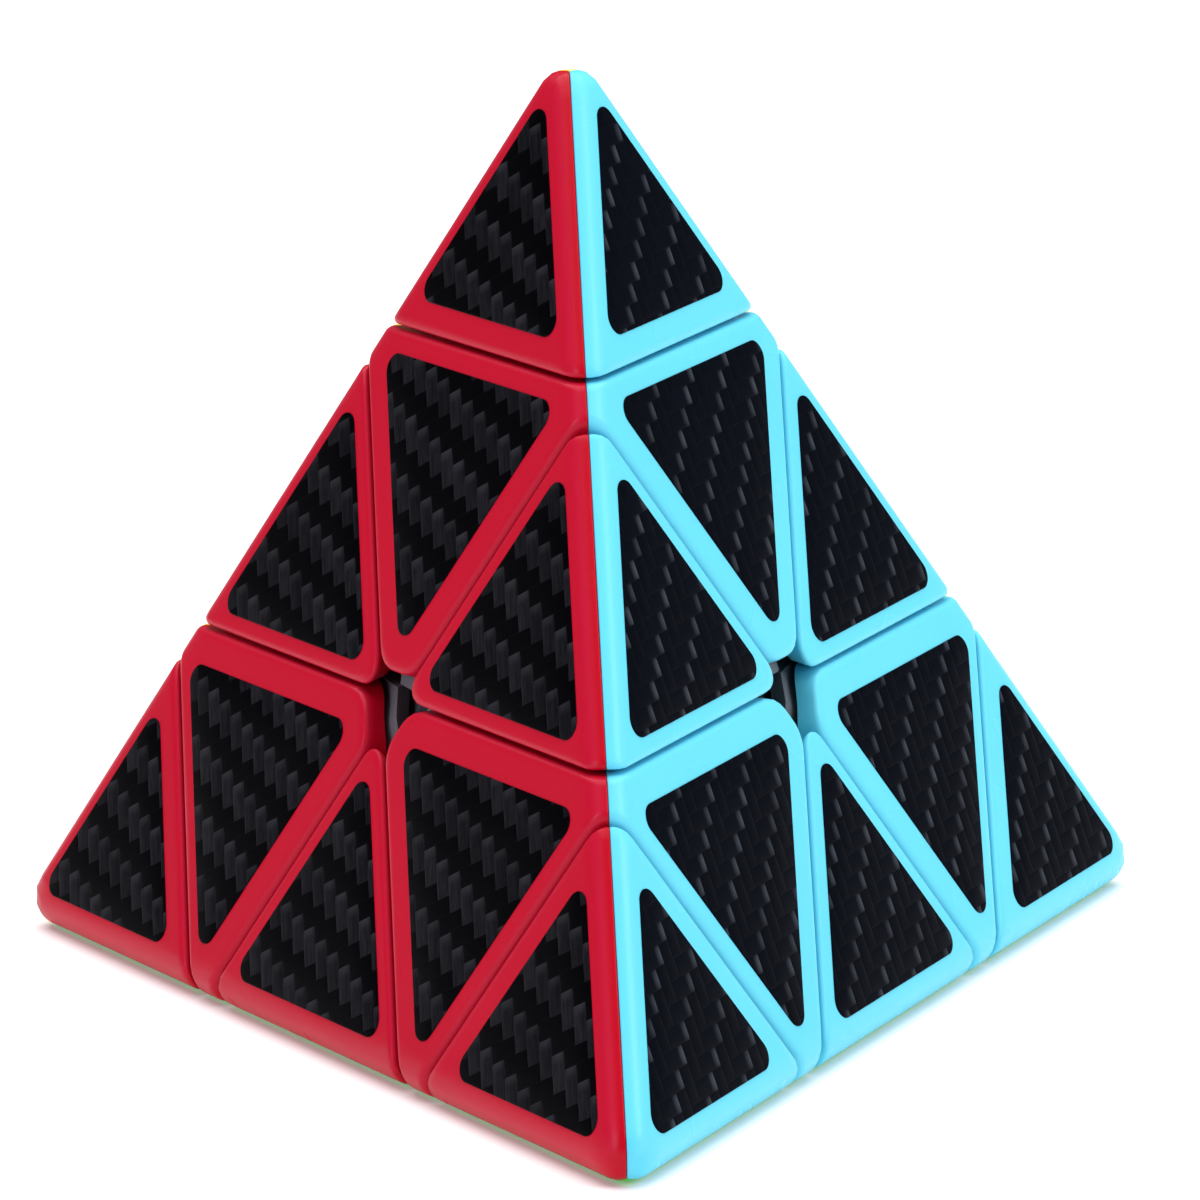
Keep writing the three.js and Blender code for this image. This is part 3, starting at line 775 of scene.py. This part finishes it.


# %% [markdown]
# ## Sticker film
# The film is black all over. Its warp floats are painted a shade lighter, each by its own amount, a painted
# sheen along the threads, with a small painted glint at the tip, and the weave's height is pressed into it as
# a bump.

# %% Sticker film
def film(name, warp_sheen_code, weft_code, glint_code, gloss):
    """Black film embossed as a woven twill; its warp floats are painted lighter as a painted sheen, with a
    painted glint at each float's end.
    """
    made, tree, shader = material(name)
    uv = node(tree, "ShaderNodeUVMap", uv_map="weave").outputs[0]
    out = use_group(tree, twill, {"Place": uv, "Tow": TOW})
    # the fibre streaks along each warp float, part of the painted sheen
    sheen_streak = node(tree, "ShaderNodeMapRange", {"Value": out["Fibre"], "From Min": 0.3, "From Max": 0.7,
                                               "To Min": 0.35, "To Max": 1.0}).outputs[0]
    bright = node(tree, "ShaderNodeMapRange", {"Value": out["Cell"], "To Min": 0.5, "To Max": 1.0}).outputs[0]
    # painted sheen: the warp floats are mixed towards the lighter colour
    amount = maths(tree, "MULTIPLY", out["Warp"], maths(tree, "MULTIPLY", sheen_streak, bright))
    colour = node(tree, "ShaderNodeMix", {0: amount, 6: srgb(weft_code), 7: srgb(warp_sheen_code)},
                  data_type="RGBA").outputs[2]
    # painted glint at the end of each warp float
    painted_glint = maths(tree, "MULTIPLY", maths(tree, "MULTIPLY", out["Tip"], out["Warp"]), bright)
    colour = node(tree, "ShaderNodeMix", {0: painted_glint, 6: colour, 7: srgb(glint_code)},
                  data_type="RGBA").outputs[2]
    tree.links.new(colour, shader.inputs["Base Color"])
    shader.inputs["Roughness"].default_value = 0.38
    shader.inputs["Specular IOR Level"].default_value = gloss
    lift = maths(tree, "ADD", out["Height"], maths(tree, "MULTIPLY", out["Fibre"], 0.15))
    bump = node(tree, "ShaderNodeBump", {"Height": lift, "Strength": 0.35, "Distance": 0.00012})
    tree.links.new(bump.outputs[0], shader.inputs["Normal"])
    return made


# Two copies of one film, lit and shaded: the red face's copy has its warp floats painted lighter, a painted
# sheen; the blue face's copy is painted darker, a painted shade, with brighter painted glints. Green and
# yellow share the red copy.
FILMS = {
    "red": film("carbon_film", "1f1f24", "020204", "2b2b30", 0.018),
    "blue": film("carbon_film_shaded", "0a0d15", "070a11", "3e424a", 0.01),
}
FILMS["green"] = FILMS["red"]
FILMS["yellow"] = FILMS["red"]
print("films:", sorted({made.name for made in FILMS.values()}))


# %% [markdown]
# ## Inside the puzzle
# Hubs, feet and core are plain moulded plastic, darker than the shells, and the screws and springs are
# plated steel. Their solids are kept as they are and only get a finish.

# %% Finishes of the inner parts
def moulded(name, code, roughness):
    """Plain moulded plastic for the parts inside."""
    made, tree, shader = material(name)
    place = node(tree, "ShaderNodeTexCoord").outputs["Object"]
    out = use_group(tree, grain, {"Place": place})
    body = node(tree, "ShaderNodeMix", {0: out["Cloud"], 6: srgb(code, 0.9), 7: srgb(code, 1.1)},
                data_type="RGBA")
    tree.links.new(body.outputs[2], shader.inputs["Base Color"])
    rough = maths(tree, "ADD", maths(tree, "MULTIPLY", out["Scratch"], 0.2), roughness)
    tree.links.new(rough, shader.inputs["Roughness"])
    bump = node(tree, "ShaderNodeBump", {"Height": out["Height"], "Strength": 0.08, "Distance": 0.00005})
    tree.links.new(bump.outputs[0], shader.inputs["Normal"])
    return made


def metal(name, code, roughness):
    """Plated steel with faint drawing marks."""
    made, tree, shader = material(name)
    place = node(tree, "ShaderNodeTexCoord").outputs["Object"]
    out = use_group(tree, grain, {"Place": place})
    body = node(tree, "ShaderNodeMix", {0: out["Cloud"], 6: srgb(code, 0.85), 7: srgb(code, 1.05)},
                data_type="RGBA")
    tree.links.new(body.outputs[2], shader.inputs["Base Color"])
    shader.inputs["Metallic"].default_value = 1.0
    rough = maths(tree, "ADD", maths(tree, "MULTIPLY", out["Scratch"], 0.25), roughness)
    tree.links.new(rough, shader.inputs["Roughness"])
    bump = node(tree, "ShaderNodeBump", {"Height": out["Height"], "Strength": 0.1, "Distance": 0.00003})
    tree.links.new(bump.outputs[0], shader.inputs["Normal"])
    return made


INNER = {
    "core": moulded("core_plastic", "2b2c2f", 0.5),
    "hub": moulded("hub_plastic", "6a6d73", 0.45),
    "foot": moulded("foot_plastic", "6a6d73", 0.45),
    "screw": metal("screw_steel", "c4c8cc", 0.28),
    "spring": metal("spring_steel", "a8acb0", 0.3),
}
for name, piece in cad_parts.items():
    kind = "hub" if name.startswith("tip_hub") else name.split("_")[0]
    if kind in INNER:
        piece.data.materials.clear()
        piece.data.materials.append(INNER[kind])
print("inner finishes:", sorted(INNER))

# %% [markdown]
# ## Putting the 36 shells and stickers in place
# Each shape is turned into place by the rotation of its corner or edge. A mesh keeps its place in its
# points, so the objects themselves stay at the origin. The weave is laid flat on each face: two
# directions in the face, turned by that face's angle, give every sticker its place in one cloth.

# %% Place every shell and sticker
WEAVE_TURN = {"red": radians(30), "blue": radians(-90), "green": radians(30), "yellow": radians(30)}
WRAP = 1.35 * MM


def parting_shift(rotation, corners):
    """How far the partings move under the puzzle's foot, in a shell's own frame. The shells of the three
    standing faces wrap a little way under, so the parting moves towards the green face."""
    if "top" in corners:
        return np.zeros(2)
    down = (rotation.T @ -AXIS["top"])[:2]
    return unit(down) * WRAP / (sin(pi / 3) if len(corners) == 1 else 1)


def place_piece(kind, corners, face):
    """One shell and its sticker, turned into place and set riding."""
    rotation = turn_to(sum(AXIS[c] for c in corners), face)
    body = "_".join([{"centre": "layer"}.get(kind, kind), *corners])
    name = "_".join([kind, *corners, face])
    points, faces, layers = shell_once(kind, parting_shift(rotation, corners))
    made = new_piece("shell_" + name, points @ rotation.T, faces, layers)
    made.data.materials.append(PLASTICS[face])
    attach(made, body)
    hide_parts(name)
    points, faces = STICKER_SHAPES[kind]
    film_piece = new_piece("sticker_" + name, points @ rotation.T, faces, smooth_below=50)
    normal = -AXIS[OPPOSITE[face]]
    up = in_face(AXIS["front" if face == "green" else "top"], normal)
    right = np.cross(up, normal)
    angle = WEAVE_TURN[face]
    across_face = right * cos(angle) + up * sin(angle)
    up_face = -right * sin(angle) + up * cos(angle)
    mesh = film_piece.data
    spots = np.empty(len(mesh.vertices) * 3, np.float32)
    mesh.vertices.foreach_get("co", spots)
    spots = spots.reshape(-1, 3)
    corner = np.empty(len(mesh.loops), np.int32)
    mesh.loops.foreach_get("vertex_index", corner)
    uv = np.stack([spots @ across_face, spots @ up_face], axis=1)[corner]
    mesh.uv_layers.new(name="weave").data.foreach_set("uv", uv.astype(np.float32).ravel())
    film_piece.data.materials.append(FILMS[face])
    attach(film_piece, body)


for corner in CORNERS:
    for face in faces_of(corner):
        place_piece("tip", [corner], face)
        place_piece("centre", [corner], face)
for a, b in combinations(CORNERS, 2):
    for face in faces_of(a, b):
        place_piece("edge", [a, b], face)

# %% [markdown]
# ## Floor
# A pale floor that glows a little, like a product table lit from below, so that the shadow stays soft.


# %% Floor
FLOOR_DROP = 0.2 * MM


def floor(size, height):
    """A flat square under the puzzle."""
    corners = np.array([[-1, -1, 0], [1, -1, 0], [1, 1, 0], [-1, 1, 0]], float) * size
    corners[:, 2] = height
    mesh = bpy.data.meshes.new("floor")
    mesh.from_pydata(corners.tolist(), [], [[0, 1, 2, 3]])
    made = bpy.data.objects.new("floor", mesh)
    bpy.context.scene.collection.objects.link(made)
    look, tree, shader = material("pale_floor")
    shader.inputs["Base Color"].default_value = (0.93, 0.93, 0.93, 1)
    shader.inputs["Roughness"].default_value = 0.6
    shader.inputs["Emission Color"].default_value = (1, 1, 1, 1)
    shader.inputs["Emission Strength"].default_value = 0.12
    mesh.materials.append(look)


floor(3.0, cad_low[2] - FLOOR_DROP)


# %% [markdown]
# ## Light
# Three soft boxes: a key for the blue face, a fill for the red one, and a wide one overhead that keeps
# the floor white.

# %% Lights
def softbox(name, place, aim, size, power, colour=(1, 1, 1)):
    """A square area light that looks at a point."""
    light = bpy.data.lights.new(name, "AREA")
    light.shape = "RECTANGLE"
    light.size, light.size_y = size
    light.energy = power
    light.color = colour
    made = bpy.data.objects.new(name, light)
    z = unit(np.array(place) - np.array(aim))
    x = unit(np.cross([0, 0, 1.0], z))
    turn = np.eye(4)
    turn[:3, :3] = np.column_stack([x, np.cross(z, x), z])
    turn[:3, 3] = place
    made.matrix_world = Matrix(turn.tolist())
    bpy.context.scene.collection.objects.link(made)


softbox("key", (0.75, -0.3, 0.45), (0, 0, 0), (0.3, 0.5), 3.4)
softbox("fill", (-0.62, -0.6, 0.3), (0, 0, 0), (0.3, 0.5), 2.6, (1.0, 0.86, 1.0))
softbox("overhead", (0.0, 0.15, 0.9), (0, 0, 0.001), (1.3, 1.3), 17)
world = bpy.data.worlds.new("studio")
bpy.context.scene.world = world
world.use_nodes = True
world.node_tree.nodes["Background"].inputs[0].default_value = (1, 1, 1, 1)
world.node_tree.nodes["Background"].inputs[1].default_value = 0.15
bpy.context.scene.view_settings.view_transform = "Standard"
print("soft boxes:", len(bpy.data.lights))

# %% [markdown]
# ## Camera
# The camera stands well back with a long lens, a little above the puzzle, with its front edge towards
# it. Its place comes from two angles and a distance; the aim says which point is in the middle.

# %% Camera
CAMERA_AZIMUTH = radians(-2.116)
CAMERA_HEIGHT = radians(15.057)
CAMERA_ROLL = radians(-1.675)
CAMERA_DISTANCE = 0.70186
SENSOR = 36
LENS_IN_FRAMES = 6.7717
AIM = (0.954 * MM, 12.827 * MM)

outwards = np.array([sin(CAMERA_AZIMUTH) * cos(CAMERA_HEIGHT), -cos(CAMERA_AZIMUTH) * cos(CAMERA_HEIGHT),
                     sin(CAMERA_HEIGHT)])
level_right = np.array([cos(CAMERA_AZIMUTH), sin(CAMERA_AZIMUTH), 0])
level_up = np.cross(outwards, level_right)
right = level_right * cos(CAMERA_ROLL) + level_up * sin(CAMERA_ROLL)
up = -level_right * sin(CAMERA_ROLL) + level_up * cos(CAMERA_ROLL)
eye = outwards * CAMERA_DISTANCE
back = unit(eye - (right * AIM[0] + up * AIM[1]))
right = unit(right - back * (right @ back))
pose = np.eye(4)
pose[:3, :3] = np.column_stack([right, np.cross(back, right), back])
pose[:3, 3] = eye
camera = bpy.data.objects.new("camera", bpy.data.cameras.new("camera"))
camera.data.sensor_width = SENSOR
camera.data.lens = SENSOR * LENS_IN_FRAMES
camera.data.clip_end = 20
camera.matrix_world = Matrix(pose.tolist())
bpy.context.scene.collection.objects.link(camera)
bpy.context.scene.camera = camera
print("camera at", np.round(eye, 3))
